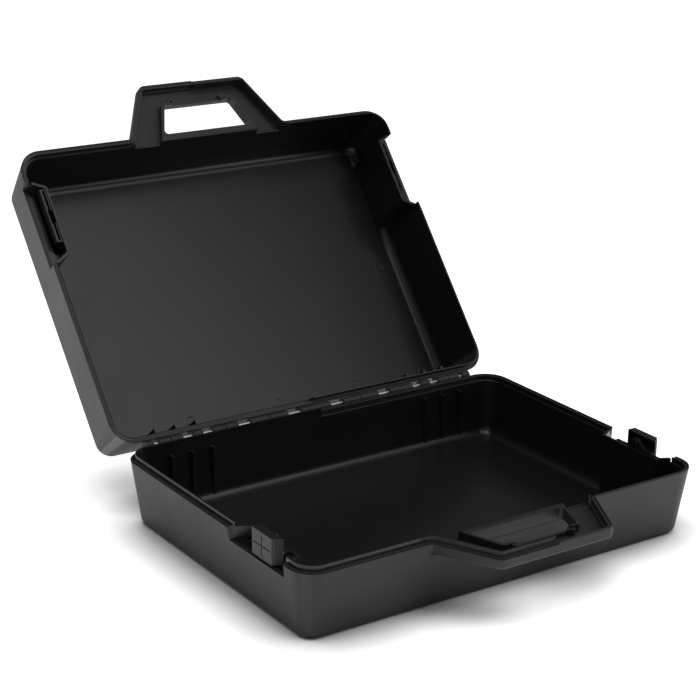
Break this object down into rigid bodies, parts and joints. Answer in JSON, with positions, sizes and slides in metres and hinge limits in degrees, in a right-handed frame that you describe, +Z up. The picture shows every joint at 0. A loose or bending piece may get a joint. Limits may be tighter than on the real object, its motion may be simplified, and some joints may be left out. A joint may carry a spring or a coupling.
{
  "type": "hard tool case",
  "caption": "Hard plastic tool case with hinged lid, split trapezoid carrying handle and sliding side latches, standing open.",
  "frame": {"origin": "centre of the base shell's underside, on the plane of the ground and midway between the side walls and between the front and back walls at the rim", "axes": "+X to the right along the hinge, -Y towards the handle, +Z up; the lid is stored open by 130 degrees as in the picture"},
  "size_m": [0.4, 0.5697, 0.3231],
  "materials": {
    "shell_plastic": "black polypropylene, fine spark-eroded grain outside",
    "latch_plastic": "black plastic, smoother and slightly glossier than the shells",
    "pin_steel": "drawn steel rod"
  },
  "bodies": {
    "base": {"base_shell": "shell_plastic", "hinge_pin_left": "pin_steel", "hinge_pin_right": "pin_steel"},
    "lid": {"lid_shell": "shell_plastic"},
    "latch_left": {"latch_slider_left": "latch_plastic"},
    "latch_right": {"latch_slider_right": "latch_plastic"}
  },
  "joints": [
    {"name": "lid_hinge", "type": "hinge", "parent": "base", "child": "lid", "pos_m": [0, 0.1472, 0.06015], "axis": [1, 0, 0], "range_deg": [0, 130]},
    {"name": "latch_left_slide", "type": "slide", "parent": "base", "child": "latch_left", "axis": [0, 1, 0], "range_m": [0, 0.012]},
    {"name": "latch_right_slide", "type": "slide", "parent": "base", "child": "latch_right", "axis": [0, 1, 0], "range_m": [0, 0.012]}
  ]
}
